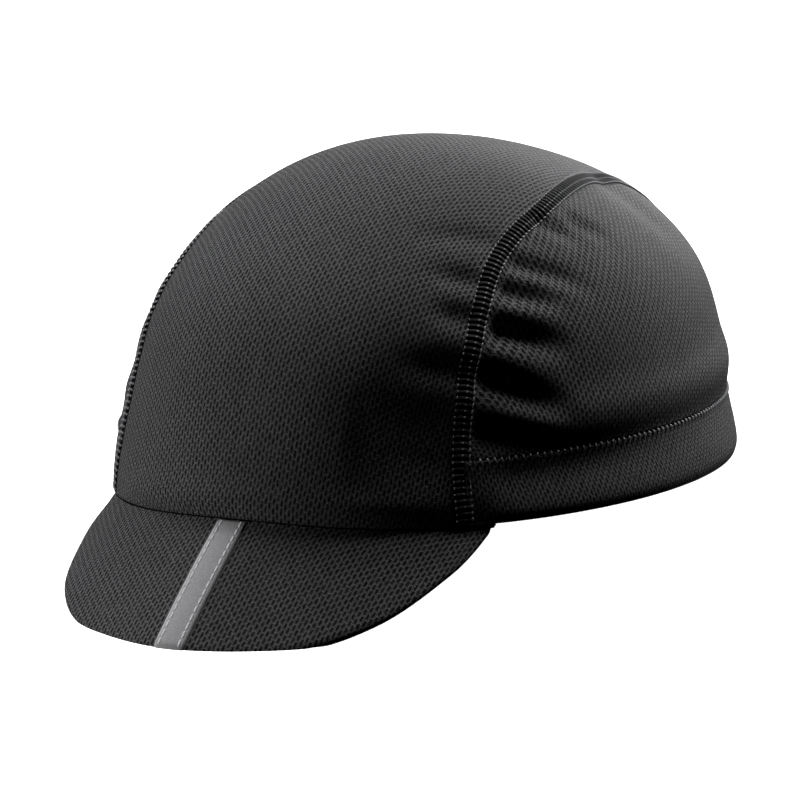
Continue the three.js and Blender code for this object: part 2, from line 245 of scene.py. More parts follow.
def smooth_through(values, position, flat_start=False, flat_end=False):
    """A smooth curve through evenly spaced values."""
    values = np.asarray(values, float)
    slope = np.gradient(values)
    if flat_start:
        slope[0] = 0
    if flat_end:
        slope[-1] = 0
    position = np.clip(position, 0, len(values) - 1 - 1e-9)
    low = np.floor(position).astype(int)
    p = position - low
    p2, p3 = p * p, p * p * p
    return (
        (2 * p3 - 3 * p2 + 1) * values[low]
        + (p3 - 2 * p2 + p) * slope[low]
        + (3 * p2 - 2 * p3) * values[low + 1]
        + (p3 - p2) * slope[low + 1]
    )


def smooth_step(x, low, high):
    t = np.clip((np.asarray(x, float) - low) / (high - low), 0, 1)
    return t * t * (3 - 2 * t)


def bell(distance, spread):
    return np.exp(-((distance / spread) ** 2))


def unit(vectors):
    return vectors / np.maximum(np.linalg.norm(vectors, axis=-1, keepdims=True), 1e-12)


def run_length(path):
    """The length run up to each point of a path."""
    return np.concatenate([[0], np.cumsum(np.linalg.norm(np.diff(path, axis=0), axis=1))])


# Directions from the middle of the hem


def by_turn(turn, rise):
    """The direction at a turn from the front and a rise from the hem."""
    turn, rise = np.radians(turn), np.radians(rise)
    level = np.cos(rise)
    parts = np.broadcast_arrays(level * np.sin(turn), -level * np.cos(turn), np.sin(rise))
    return np.stack(parts, -1)


def by_over(over, side):
    """The direction at an angle over the head from the front, and an angle to the side."""
    over, side = np.radians(over), np.radians(side)
    middle = np.cos(side)
    parts = np.broadcast_arrays(np.sin(side), -middle * np.cos(over), middle * np.sin(over))
    return np.stack(parts, -1)


def turn_of(direction):
    return np.degrees(np.arctan2(direction[..., 0], -direction[..., 1]))


def smooth_crown(direction):
    """The crown without its folds."""
    x, y, z = np.moveaxis(direction, -1, 0)
    level = np.maximum(np.hypot(x, y), 1e-9)
    rise = np.degrees(np.arctan2(z, level)) / SECTION_STEP
    width, front, rear = (
        smooth_through(CROWN_SECTIONS[name], rise, flat_end=True) for name in ("width", "front", "rear")
    )
    length = (front + rear) / 2 + (rear - front) / 2 * y / level
    arch = FRONT_HEM_ARCH * bell(turn_of(direction), FRONT_HEM_ARCH_SPREAD) * level**4
    return np.stack(
        [HEM_HALF_WIDTH * width * x, HEM_HALF_LENGTH * length * y, CROWN_HEIGHT * z + arch], -1
    )


def crown_normal(direction):
    reach = math.radians(0.5)
    sideways = np.cross(np.array([0.0, 0.0, 1.0]), direction)
    flat = np.linalg.norm(sideways, axis=-1, keepdims=True) < 1e-3
    sideways = unit(np.where(flat, np.array([1.0, 0.0, 0.0]), sideways))
    upward = unit(np.cross(direction, sideways))

    def across(axis):
        return smooth_crown(unit(direction + axis * reach)) - smooth_crown(unit(direction - axis * reach))

    return unit(np.cross(across(sideways), across(upward)))


def fold_at(point, fold, side):
    """How far a fold moves the cloth out: a groove that fades along its run."""
    turn, rise, to_turn, to_rise, width, depth = fold
    start = smooth_crown(by_turn(turn * side, rise))
    run = smooth_crown(by_turn(to_turn * side, to_rise)) - start
    offset = point - start
    along = np.clip(offset @ run / (run @ run), 0, 1)
    away = np.linalg.norm(offset - along[..., None] * run, axis=-1) / (width * FOLD_SIZE)
    fade = 1 - smooth_step(along, 0.25, 1)
    return -depth * FOLD_SIZE * fade * (1 - away * away / 2) * np.exp(-away * away)


def band_roll(turn):
    """How fully the band rolls and pinches at a turn from the front, negative on the far side."""
    return smooth_step(np.abs(turn) - np.where(turn < 0, FAR_SIDE_FADE, 0.0), *WAIST["starts"])


def waist_at(turn, height):
    share = band_roll(turn) * (1 - smooth_step(np.abs(turn), *WAIST["ends"])) * side_share(turn)
    return WAIST["depth"] * share * bell(height - WAIST["height"], WAIST["spread"])


def side_share(turn):
    return np.where(turn < 0, FAR_SIDE_SHARE, 1.0)


def relief(direction, point):
    """The lip over the peak, the blousing over the band and the folds, as one distance out."""
    turn = turn_of(direction)
    height = CROWN_HEIGHT * direction[..., 2]
    lip = 1 - smooth_step(np.abs(turn), FRONT_LIP["fade_turn"] / 2, FRONT_LIP["fade_turn"])
    out = lip * FRONT_LIP["out"] * bell(height - FRONT_LIP["height"], FRONT_LIP["spread"])
    out = out - lip * FRONT_LIP["tuck"] * bell(height, FRONT_LIP["tuck_spread"])
    gathered = smooth_step(np.abs(turn), GATHER_FROM, GATHER_TO)
    above = height - BAND_HEIGHT
    out = out + gathered * BLOUSE["out"] * bell(above - BLOUSE["height"], BLOUSE["spread"])
    out = out - band_roll(turn) * BLOUSE["pinch"] * bell(above, BLOUSE["pinch_spread"])
    out = out - waist_at(turn, height)
    for side in (1, -1):
        here = np.where(turn * side > 0, side_share(turn), 0.0)
        for fold in FOLDS:
            out = out + here * fold_at(point, fold, side)
    return out


def crown_surface(direction, out=0.0):
    point = smooth_crown(direction)
    distance = relief(direction, point) + out
    return point + crown_normal(direction) * distance[..., None]


# Where the worn cap stands in the frame

PEAK_TIP_Y = -HEM_HALF_LENGTH - PEAK_AHEAD
REST_PITCH = math.atan2(PEAK_DROP, HEM_HALF_LENGTH - PEAK_TIP_Y)
REST_HEIGHT = HEM_HALF_LENGTH * math.sin(REST_PITCH) - FLOOR_PRESS
FLOOR_NORMAL = np.array([0.0, -math.sin(REST_PITCH), math.cos(REST_PITCH)])
FRONT_CORNER = smooth_crown(by_turn(PEAK_CORNER_TURN, 0.0))


def press_on_floor(points):
    height = points @ FLOOR_NORMAL + REST_HEIGHT
    return points - np.minimum(height, 0)[..., None] * FLOOR_NORMAL


def peak_thickness_at(sideways):
    return PEAK_THICKNESS + (PEAK_CORNER_THICKNESS - PEAK_THICKNESS) * np.abs(sideways) ** 6


def peak_middle(sideways, along):
    """The peak's middle surface: sideways from -1 to 1 between its corners, along from its root."""
    sideways, along = np.broadcast_arrays(np.asarray(sideways, float), np.asarray(along, float))
    corner = np.abs(sideways)
    direction = by_turn(sideways * PEAK_CORNER_TURN, 0.0)
    root = smooth_crown(direction) - crown_normal(direction) * CLOTH_WALL
    root[..., 2] -= SEAM_GAP + peak_thickness_at(sideways) / 2
    place = corner * (len(PEAK_ACROSS) - 1)
    reach = FRONT_CORNER[1] - PEAK_TIP_Y
    edge = np.stack(
        [
            np.sign(sideways) * FRONT_CORNER[0] * smooth_through(PEAK_ACROSS, place),
            FRONT_CORNER[1] - reach * smooth_through(PEAK_REACH, place, flat_start=True),
            -PEAK_DROP * smooth_through(PEAK_FALL, place, flat_start=True),
        ],
        -1,
    )
    middle = root + (edge - root) * along[..., None]
    middle[..., 2] += PEAK_CROWN * 4 * along * (1 - along) * (1 - corner**4)
    return middle


def peak_normal(sideways, along):
    step = 0.01
    near = np.clip(sideways, -0.98, 0.98)
    across = peak_middle(near + step, along) - peak_middle(near - step, along)
    outward = peak_middle(near, along + step) - peak_middle(near, along - step)
    return unit(np.cross(outward, across))


def peak_surface(sideways, along, height):
    return peak_middle(sideways, along) + peak_normal(sideways, along) * np.asarray(height)[..., None]


def tip(points):
    """Worn points in the frame's directions, before they are moved over its origin."""
    c, s = math.cos(REST_PITCH), math.sin(REST_PITCH)
    x, y, z = np.moveaxis(points, -1, 0)
    return np.stack([x, y * c + z * s, z * c - y * s + REST_HEIGHT], -1)


RIM_HEIGHTS = np.array([-1, 1]) * PEAK_EDGE_SHARE * PEAK_THICKNESS / 2
RIM_POINTS = tip(press_on_floor(peak_surface(0.0, 1.0, RIM_HEIGHTS)))
FORWARD_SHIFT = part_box("peak")[0][1] / MM - RIM_POINTS[:, 1].min()


def to_frame(points):
    """Worn millimetres to the frame's metres."""
    return (tip(press_on_floor(points)) + np.array([0.0, FORWARD_SHIFT, 0.0])) * MM


def to_frame_free(points):
    """As to_frame, for what never meets the floor."""
    return (tip(points) + np.array([0.0, FORWARD_SHIFT, 0.0])) * MM


def direction_to_frame(vector):
    return Matrix.Rotation(-REST_PITCH, 3, "X") @ Vector(vector)


# Mesh making


def mesh_object(name, vertices, faces, weave):
    """A mesh from an array of vertices and arrays of faces, with the weave's place as its UVs."""
    mesh = bpy.data.meshes.new(name)
    faces = [np.asarray(group, np.int32) for group in faces if len(group)]
    corners = np.concatenate([group.ravel() for group in faces])
    sizes = np.concatenate([np.full(len(group), group.shape[1]) for group in faces])
    starts = np.concatenate([[0], np.cumsum(sizes)[:-1]])
    mesh.vertices.add(len(vertices))
    mesh.vertices.foreach_set("co", np.asarray(vertices, np.float32).ravel())
    mesh.loops.add(len(corners))
    mesh.loops.foreach_set("vertex_index", corners.astype(np.int32))
    mesh.polygons.add(len(sizes))
    mesh.polygons.foreach_set("loop_start", starts.astype(np.int32))
    mesh.polygons.foreach_set("use_smooth", np.full(len(sizes), True))
    layer = mesh.uv_layers.new(name="weave")
    layer.data.foreach_set("uv", np.asarray(weave, np.float32)[corners].ravel())
    mesh.update(calc_edges=True)
    mesh.validate()
    made = bpy.data.objects.new(name, mesh)
    bpy.context.scene.collection.objects.link(made)
    return made


def thick_sheet(name, outer, inner, weave):
    """A closed sheet from grids of outer and inner points; columns run right and rows run up."""
    rows, columns = outer.shape[:2]
    grid = np.arange(rows * columns).reshape(rows, columns)
    under = grid + rows * columns

    def quads(a, b, c, d):
        return np.stack([a.ravel(), b.ravel(), c.ravel(), d.ravel()], -1)

    faces = [
        quads(grid[:-1, :-1], grid[:-1, 1:], grid[1:, 1:], grid[1:, :-1]),
        quads(under[:-1, :-1], under[1:, :-1], under[1:, 1:], under[:-1, 1:]),
        quads(under[:-1, 0], grid[:-1, 0], grid[1:, 0], under[1:, 0]),
        quads(grid[:-1, -1], under[:-1, -1], under[1:, -1], grid[1:, -1]),
        quads(under[0, :-1], under[0, 1:], grid[0, 1:], grid[0, :-1]),
        quads(grid[-1, :-1], grid[-1, 1:], under[-1, 1:], under[-1, :-1]),
    ]
    vertices = np.concatenate([to_frame(outer).reshape(-1, 3), to_frame(inner).reshape(-1, 3)])
    places = np.concatenate([weave.reshape(-1, 2)] * 2)
    return mesh_object(name, vertices, [np.concatenate(faces)], places)


def threads(name, paths, normals, radius, flatten=1.0):
    """Round threads along paths, an array of (threads, points, 3), joined in one mesh."""
    sides = THREAD_SIDES
    count, points = paths.shape[:2]
    tangent = unit(np.gradient(paths, axis=1))
    across = unit(np.cross(tangent, normals))
    lift = np.cross(across, tangent)
    angle = np.linspace(0, 2 * np.pi, sides, endpoint=False)
    ring = (
        across[:, :, None] * np.cos(angle)[:, None] + lift[:, :, None] * np.sin(angle)[:, None] * flatten
    )
    taper = np.ones(points)
    taper[[0, -1]] = THREAD_END_TAPER
    vertices = paths[:, :, None] + ring * (radius * taper)[None, :, None, None]
    index = np.arange(count * points * sides).reshape(count, points, sides)
    turned = np.roll(index, -1, axis=2)
    side_faces = np.stack(
        [index[:, :-1].ravel(), index[:, 1:].ravel(), turned[:, 1:].ravel(), turned[:, :-1].ravel()], -1
    )
    starts = index[:, 0]
    ends = index[:, -1, ::-1]
    along = np.repeat(np.arange(points), sides)[None] + np.zeros((count, 1))
    weave = np.stack([along.ravel() * 0.3, np.tile(angle, count * points)], -1)
    return mesh_object(name, to_frame_free(vertices).reshape(-1, 3), [side_faces, starts, ends], weave)


# The cloth laid flat, which gives the weave its place


def lay_flat(points):
    """Flattens a grid of points, keeping the lengths along rows, columns and diagonals."""
    rows, columns = points.shape[:2]
    across = np.linalg.norm(np.diff(points, axis=1), axis=-1)
    up = np.linalg.norm(np.diff(points, axis=0), axis=-1)
    middle = columns // 2
    u = np.concatenate([np.zeros((rows, 1)), np.cumsum(across, 1)], 1)
    u -= u[:, middle : middle + 1]
    v = np.concatenate([np.zeros((1, columns)), np.cumsum(up, 0)])
    flat = np.stack([u, v], -1)
    links = []
    for row_step, column_step in ((0, 1), (1, 0), (1, 1), (1, -1)):
        r, c = np.mgrid[0 : rows - row_step, max(0, -column_step) : columns - max(0, column_step)]
        a = (r * columns + c).ravel()
        b = ((r + row_step) * columns + c + column_step).ravel()
        links.append((a, b))
    first, second = (np.concatenate(ends) for ends in zip(*links))
    cloud = points.reshape(-1, 3)
    length = np.linalg.norm(cloud[first] - cloud[second], axis=1)
    place = flat.reshape(-1, 2)
    share = np.bincount(first, minlength=len(place)) + np.bincount(second, minlength=len(place))
    for _ in range(EASE_TURNS):
        gap = place[second] - place[first]
        now = np.linalg.norm(gap, axis=1)
        pull = gap * ((now - length) / np.maximum(now, 1e-9) / 2)[:, None]
        move = np.stack(
            [
                np.bincount(first, pull[:, k], len(place)) - np.bincount(second, pull[:, k], len(place))
                for k in (0, 1)
            ],
            -1,
        )
        place = place + move / share[:, None] * EASE_PULL
    flat = place.reshape(rows, columns, 2)
    grain = flat[-1, middle] - flat[0, middle]
    turn = math.atan2(grain[0], grain[1])
    c, s = math.cos(turn), math.sin(turn)
    return flat @ np.array([[c, s], [-s, c]])


def turn_grain(flat, angle, stretch):
    """The laid cloth turned so that its columns lean by the angle, and counted as stretched across."""
    c, s = math.cos(math.radians(angle)), math.sin(math.radians(angle))
    return flat @ np.array([[c / stretch, s], [-s / stretch, c]])


def spread_grid(coarse, rows, columns):
    """A coarse grid of values, interpolated to more rows and columns."""
    low_rows, low_columns = coarse.shape[:2]
    r = np.linspace(0, low_rows - 1, rows)
    c = np.linspace(0, low_columns - 1, columns)
    r0 = np.minimum(r.astype(int), low_rows - 2)
    c0 = np.minimum(c.astype(int), low_columns - 2)
    rp, cp = (r - r0)[:, None, None], (c - c0)[None, :, None]
    top = coarse[r0][:, c0] * (1 - cp) + coarse[r0][:, c0 + 1] * cp
    bottom = coarse[r0 + 1][:, c0] * (1 - cp) + coarse[r0 + 1][:, c0 + 1] * cp
    return top * (1 - rp) + bottom * rp


def degrees_out(length):
    """A short length across the cloth as an angle from the middle of the hem."""
    return math.degrees(length / HEM_HALF_WIDTH)


def seam_half(over):
    """The half angle that the centre panel spans at an angle over the head."""
    return smooth_through(SEAM_HALF, np.asarray(over) / SEAM_STEP)


def crown_sheet(name, rows, columns, direction_at, grain, stretch):
    """A cloth that follows the crown. direction_at takes shares across and up."""
    across, up = np.meshgrid(np.linspace(0, 1, columns), np.linspace(0, 1, rows))
    direction = direction_at(across, up)
    outer = crown_surface(direction)
    inner = crown_surface(direction, -CLOTH_WALL)
    few_across, few_up = np.meshgrid(np.linspace(0, 1, FLAT_COLUMNS), np.linspace(0, 1, FLAT_ROWS))
    flat = lay_flat(smooth_crown(direction_at(few_across, few_up)))
    weave = turn_grain(spread_grid(flat, rows, columns), grain, stretch)
    return thick_sheet(name, outer, inner, weave), flat


def dress(made, material):
    made.data.materials.append(material)
    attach(made, "root")


def centre_panel(material):
    """The middle cloth, from the front hem over the head to the band at the back."""
    bottom = BAND_RISE + degrees_out(SEAM_GAP / 2)

    def direction_at(across, up):
        rough = np.radians((across * 2 - 1) * seam_half(180 * up))
        at_back = 180 - np.degrees(np.arcsin(math.sin(math.radians(bottom)) / np.cos(rough)))
        over = up * at_back
        return by_over(over, (across * 2 - 1) * (seam_half(over) - degrees_out(SEAM_GAP / 2)))

    made, flat = crown_sheet("centre_panel_cloth", 250, 110, direction_at, 0.0, 1.0)
    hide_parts("centre_panel")
    dress(made, material)


def seam_place(over):
    """The side panel's edge along the seam."""
    return by_over(over, seam_half(over) + degrees_out(SEAM_GAP / 2))


def over_where(rise, hem):
    """Where the seam stands at a rise, on the way up from the front hem or the back hem."""
    low, high = float(hem), 90.0
    for _ in range(40):
        middle = (low + high) / 2
        if math.degrees(math.asin(seam_place(middle)[2])) < rise:
            low = middle
        else:
            high = middle
    return low


def side_panel(side, name, material):
    """The cloth over an ear, from the band up to the seam."""
    bottom = BAND_RISE + degrees_out(SEAM_GAP / 2)
    end_rise = 3.0
    tops = [over_where(bottom + end_rise, hem) for hem in (0, 180)]
    feet = [float(turn_of(seam_place(over_where(bottom, hem)))) for hem in (0, 180)]

    def direction_at(across, up):
        along = across if side > 0 else 1 - across
        foot = by_turn(feet[0] + (feet[1] - feet[0]) * along, bottom)
        top = seam_place(tops[0] + (tops[1] - tops[0]) * along)
        direction = unit(foot + (top - foot) * up[..., None])
        return direction * np.array([side, 1.0, 1.0])

    grain = SIDE_GRAIN * side
    made, flat = crown_sheet(f"{name}_cloth", 110, 250, direction_at, grain, SIDE_STRETCH)
    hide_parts(name)
    dress(made, material)


def smooth_section(section, count):
    """The band's section, rounded through its rows."""
    place = np.linspace(0, len(section) - 1, count)
    return np.stack([smooth_through(column, place) for column in zip(*section)], -1)


def rear_band(material):
    """The turned hem with its elastic, from temple to temple round the back."""
    start = SEAM_HALF[0] + degrees_out(SEAM_GAP)
    columns, samples, outside = 420, 51, 40
    turn = np.linspace(start, 360 - start, columns)
    from_front = np.where(turn > 180, turn - 360, turn)
    section = smooth_section(BAND_SECTION, samples)
    height = np.clip(section[:, 0], 0, 1) * (BAND_HEIGHT - SEAM_GAP / 2)
    rise = np.degrees(np.arcsin(height / CROWN_HEIGHT))
    direction = by_turn(turn[:, None], rise[None])
    out = BAND_THICKNESS * (section[:, 2] * band_roll(from_front)[:, None] - section[:, 1])
    out = out - waist_at(from_front[:, None], height[None])
    points = smooth_crown(direction) + crown_normal(direction) * out[..., None]
    index = np.arange(columns * samples).reshape(columns, samples)
    turned = np.roll(index, -1, axis=1)
    faces = np.stack(
        [index[:-1].ravel(), index[1:].ravel(), turned[1:].ravel(), turned[:-1].ravel()], -1
    )
    along = run_length(points[:, outside])
    round_it = run_length(points[columns // 2])
    lean = np.sign(along - along[-1] / 2)[:, None] * -round_it[None] * math.tan(math.radians(BAND_GRAIN))
    weave = np.stack(np.broadcast_arrays(along[:, None] + lean, round_it[None]), -1)
    made = mesh_object(
        "rear_band_cloth",
        to_frame(points).reshape(-1, 3),
        [faces, index[:1, :], index[-1:, ::-1]],
        weave.reshape(-1, 2),
    )
    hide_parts("rear_band")
    dress(made, material)


def peak_weave(sideways, along):
    """The peak's knit runs straight ahead: across is measured round its bend, and the rest ahead."""
    middle = peak_middle(sideways, along)
    level = np.linspace(-1, 1, 401)
    row = peak_middle(level, 0.5)
    lean = peak_normal(level, np.full_like(level, 0.5))[:, 0]
    spacing = 1 / np.sqrt(np.maximum(1 - lean**2, 0.2))
    across = np.concatenate([[0], np.cumsum(np.diff(row[:, 0]) * (spacing[1:] + spacing[:-1]) / 2)])
    across -= across[len(across) // 2]
    ahead = math.atan2(PEAK_DROP, PEAK_AHEAD)
    v = middle[..., 1] * math.cos(ahead) + middle[..., 2] * math.sin(ahead)
    return np.stack([np.interp(middle[..., 0], row[:, 0], across) / PEAK_STRETCH, v], -1)


def peak(material):
    """The cloth-covered peak, with its root tucked up inside the crown."""
    rim = 1 - PEAK_ROUND * np.cos(np.linspace(0.1, 0.5, 12) * np.pi)
    along = np.concatenate([np.linspace(PEAK_TUCK, EVEN_ROWS_END, 62), rim])
    share = np.sqrt(np.clip(1 - ((along - 1 + PEAK_ROUND) / PEAK_ROUND) ** 2, 0, 1))
    share = np.where(along < 1 - PEAK_ROUND, 1.0, PEAK_EDGE_SHARE + (1 - PEAK_EDGE_SHARE) * share)
    side_grid, along_grid = np.meshgrid(np.linspace(1, -1, 181), along)
    half = share[:, None] * peak_thickness_at(side_grid) / 2
    outer = peak_surface(side_grid, along_grid, half)
    inner = peak_surface(side_grid, along_grid, -half)
    made = thick_sheet("peak_cloth", outer, inner, peak_weave(side_grid, along_grid))
    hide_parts("peak")
    dress(made, material)


def strip_point(across, along, height):
    """A place on the tape: across in millimetres from its middle, along as the peak's share."""
    near = 0.02
    spread = peak_middle(near, np.minimum(along, 1))[..., 0] / near
    lift = PEAK_THICKNESS / 2 + np.asarray(height, float)
    across, along, lift = np.broadcast_arrays(across / spread, along, lift)
    over = np.clip((along - 1 + PEAK_ROUND) / PEAK_ROUND, 0, 1)
    drop = (1 - np.sqrt(1 - over**2)) * (1 - PEAK_EDGE_SHARE) * PEAK_THICKNESS / 2
    return peak_surface(across, along, lift - drop)


def reflective_strip(material):
    """The tape runs from under the crown's lip to the rim of the peak, where it is turned under."""
    end = 1 + STRIP_WRAP
    rim = end - (PEAK_ROUND + STRIP_WRAP) * np.cos(np.linspace(0.08, 0.5, 12) * np.pi)
    along = np.concatenate([np.linspace(0.0, EVEN_ROWS_END, 50), rim])
    across = np.linspace(STRIP_WIDTH / 2, -STRIP_WIDTH / 2, 21)
    across_grid, along_grid = np.meshgrid(across, along)
    edge = np.clip((STRIP_WIDTH / 2 - np.abs(across_grid)) / 0.3, 0, 1)
    outer = strip_point(across_grid, along_grid, TAPE_THICKNESS * (0.4 + 0.6 * np.sqrt(edge)))
    inner = strip_point(across_grid, along_grid, 0.02)
    under = strip_point(across, np.full_like(across, end), -PEAK_THICKNESS * 0.72)
    outer = np.concatenate([outer, under[None]])
    inner = np.concatenate([inner, under[None] + np.array([0.0, 0.25, 0.05])])
    weave = np.stack([across_grid, along_grid * STRIP_LENGTH], -1)
    weave = np.concatenate([weave, weave[-1:] + np.array([0.0, 1.5])])
    made = thick_sheet("reflective_tape", outer, inner, weave)
    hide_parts("reflective_strip")
    dress(made, material)


# Materials


class Nodes:
    """Short calls for building one material's nodes."""

    def __init__(self, name):
        self.material = bpy.data.materials.new(name)
        self.material.use_nodes = True
        self.tree = self.material.node_tree
        self.shader = self.tree.nodes["Principled BSDF"]

    def add(self, kind, **settings):
        node = self.tree.nodes.new(kind)
        for key, value in settings.items():
            setattr(node, key, value)
        return node

    def put(self, value, socket):
        if isinstance(value, (int, float, tuple)):
            socket.default_value = value
        else:
            self.tree.links.new(value, socket)

    def math(self, operation, *values):
        node = self.add("ShaderNodeMath", operation=operation)
        for value, socket in zip(values, node.inputs):
            self.put(value, socket)
        return node.outputs[0]

    def mix(self, share, low, high):
        node = self.add("ShaderNodeMix", data_type="RGBA")
        self.put(share, node.inputs["Factor"])
        self.put(low, node.inputs["A"])
        self.put(high, node.inputs["B"])
        return node.outputs["Result"]

    def noise(self, scale, detail, vector):
        node = self.add("ShaderNodeTexNoise")
        node.inputs["Scale"].default_value = scale
        node.inputs["Detail"].default_value = detail
        self.put(vector, node.inputs["Vector"])
        return node.outputs["Fac"]

    def wander(self, scale, reach, vector):
        """Noise about zero."""
        return self.math("MULTIPLY", self.math("SUBTRACT", self.noise(scale, 2.0, vector), 0.5), reach)

    def ramp(self, value, low, high):
        node = self.add("ShaderNodeMapRange", interpolation_type="SMOOTHSTEP")
        self.put(value, node.inputs["Value"])
        node.inputs["From Min"].default_value = low
        node.inputs["From Max"].default_value = high
        return node.outputs["Result"]

    def scaled(self, color, share):
        node = self.add("ShaderNodeVectorMath", operation="SCALE")
        self.put(color, node.inputs[0])
        node.inputs["Scale"].default_value = share
        return node.outputs["Vector"]

    def shifted(self, vector):
        """Another part of the noise, so that two noises don't run together."""
        node = self.add("ShaderNodeVectorMath", operation="ADD")
        self.put(vector, node.inputs[0])
        node.inputs[1].default_value = (37.0, 11.0, 5.0)
        return node.outputs["Vector"]

    def bump(self, height, distance, normal=None):
        node = self.add("ShaderNodeBump")
        node.inputs["Distance"].default_value = distance
        self.put(height, node.inputs["Height"])
        if normal is not None:
            self.put(normal, node.inputs["Normal"])
        return node.outputs["Normal"]

    def finish(self, roughness, specular):
        self.shader.inputs["Roughness"].default_value = roughness
        self.shader.inputs["Specular IOR Level"].default_value = specular


def grey(value):
    """A grey with a touch of blue."""
    return (value, value, value * 1.03, 1.0)


def mesh_cell(n):
    """The place on the cloth, how far the nearest slit is, its chance, and the loops beside it."""
    place = n.add("ShaderNodeUVMap", uv_map="weave").outputs["UV"]
    parts = n.add("ShaderNodeSeparateXYZ")
    n.put(place, parts.inputs[0])
    sway = n.wander(*KNIT_SWAY, place)
    rock = n.wander(*KNIT_ROCK, n.shifted(place))
    u = n.math("DIVIDE", n.math("ADD", parts.outputs["X"], sway), MESH_COLUMN)
    column = n.math("FLOOR", u)
    stagger = n.math("MULTIPLY", n.math("MODULO", n.math("ABSOLUTE", column), 2.0), 0.5)
    v = n.math("ADD", n.math("DIVIDE", n.math("ADD", parts.outputs["Y"], rock), MESH_PITCH), stagger)
    du = n.math("MULTIPLY", n.math("SUBTRACT", n.math("FRACT", u), 0.5), MESH_COLUMN)
    dv = n.math("MULTIPLY", n.math("SUBTRACT", n.math("FRACT", v), 0.5), MESH_PITCH)
    wide = n.math("DIVIDE", n.math("SUBTRACT", du, n.math("MULTIPLY", dv, HOLE_SLANT)), HOLE_WIDTH / 2)
    tall = n.math("DIVIDE", dv, HOLE_HEIGHT / 2)
    away = n.math("ADD", n.math("MULTIPLY", wide, wide), n.math("POWER", n.math("ABSOLUTE", tall), 3.0))
    from_middle = n.math("ABSOLUTE", n.math("SUBTRACT", n.math("FRACT", u), 0.5))
    climb = n.math("ADD", n.math("MULTIPLY", v, LOOPS_A_SLIT), n.math("MULTIPLY", from_middle, LOOP_SLOPE))
    loop = n.math("SINE", n.math("MULTIPLY", climb, 2 * math.pi))
    cell = n.add("ShaderNodeCombineXYZ")
    n.put(column, cell.inputs[0])
    n.put(n.math("FLOOR", v), cell.inputs[1])
    chance = n.add("ShaderNodeTexWhiteNoise", noise_dimensions="2D")
    n.put(cell.outputs[0], chance.inputs["Vector"])
    return place, away, chance.outputs["Value"], n.ramp(loop, -0.9, 0.9)


def cloth_material(name):
    """Black mesh knit: staggered slits painted near-black as the shade seen through them, loops painted
    with highlights and shade over uneven tone, and a few bright fibres painted as glints.
    """
    n = Nodes(name)
    place, away, chance, loop = mesh_cell(n)
    # The slits are painted near-black as the shade seen through the holes; the same mask also sinks them
    # in the bump.
    slit = n.math("SUBTRACT", 1.0, n.ramp(away, 0.65, 1.35))
    slit = n.math("MULTIPLY", slit, n.ramp(chance, -0.9, 0.5))
    # Painted light and shade: the knit is painted darker next to each slit, as shade at the hole's edge,
    # and lighter between the slits, as a highlight on the knots.
    knot_light_and_shade = n.ramp(away, 1.4, 5.0)
    uneven = n.noise(2.4, 3.0, place)
    loops = n.math("ADD", n.math("MULTIPLY", uneven, 0.78), n.math("MULTIPLY", loop, 0.22))
    # A few fibres painted 2.3 times brighter as glints, a painted highlight; the same noise also raises
    # them in the bump.
    glinting_filaments = n.noise(4.5, 2.0, n.shifted(place))
    patches = n.noise(0.05, 3.0, place)
    tone = n.mix(patches, grey(CLOTH_TONE * 0.88), grey(CLOTH_TONE * 1.12))
    tone = n.mix(knot_light_and_shade, n.scaled(tone, 0.7), n.scaled(tone, 1.2))
    # The loops are painted partly as uneven yarn tone and partly as light: lighter on their crests as a
    # painted highlight, darker between them as painted shade.
    tone = n.mix(n.ramp(loops, 0.36, 0.66), n.scaled(tone, 0.4), n.scaled(tone, 1.5))
    tone = n.mix(n.ramp(glinting_filaments, 0.58, 0.72), tone, n.scaled(tone, 2.3))
    n.put(n.mix(slit, tone, grey(SLIT_SHADE)), n.shader.inputs["Base Color"])
    fuzz = n.bump(n.math("ADD", loops, n.math("MULTIPLY", glinting_filaments, 0.5)), 0.4 * MM)
    n.put(n.bump(slit, -0.4 * MM, normal=fuzz), n.shader.inputs["Normal"])
    n.finish(0.6, 0.06)
    n.shader.inputs["Sheen Weight"].default_value = 0.02
    n.shader.inputs["Sheen Roughness"].default_value = 0.5
    return n.material


def plain_material(name, tone):
    """Cloth of the tone it is given, with a fine uneven grain, and no slits."""
    n = Nodes(name)
    coordinates = n.add("ShaderNodeTexCoord").outputs["Object"]
    loops = n.noise(2400.0, 2.0, coordinates)
    n.put(n.mix(loops, grey(tone * 0.5), grey(tone * 1.5)), n.shader.inputs["Base Color"])
    n.put(n.bump(loops, 0.12 * MM), n.shader.inputs["Normal"])
    n.finish(0.9, 0.02)
    return n.material


def tape_material():
    """Satin grey reflective tape with a fine bead grain."""
    n = Nodes("reflective_tape")
    coordinates = n.add("ShaderNodeTexCoord").outputs["Object"]
    grain = n.noise(2600.0, 2.0, coordinates)
    scuff = n.noise(120.0, 4.0, coordinates)
    tone = n.mix(scuff, grey(0.5), grey(0.58))
    beads = n.mix(n.ramp(grain, 0.3, 0.7), n.scaled(tone, 0.84), n.scaled(tone, 1.16))
    n.put(beads, n.shader.inputs["Base Color"])
    n.put(n.bump(grain, 0.03 * MM), n.shader.inputs["Normal"])
    n.finish(0.5, 0.5)
    return n.material


def thread_material(name, tone):
    """Thread with a little fluff over the grey it is given."""
    n = Nodes(name)
    coordinates = n.add("ShaderNodeTexCoord").outputs["Object"]
    fluff = n.noise(4000.0, 2.0, coordinates)
    n.put(n.mix(fluff, grey(tone * 0.85), grey(tone * 1.15)), n.shader.inputs["Base Color"])
    n.put(n.bump(fluff, 0.03 * MM), n.shader.inputs["Normal"])
    n.finish(0.6, 0.12)
    return n.material


# Stitches


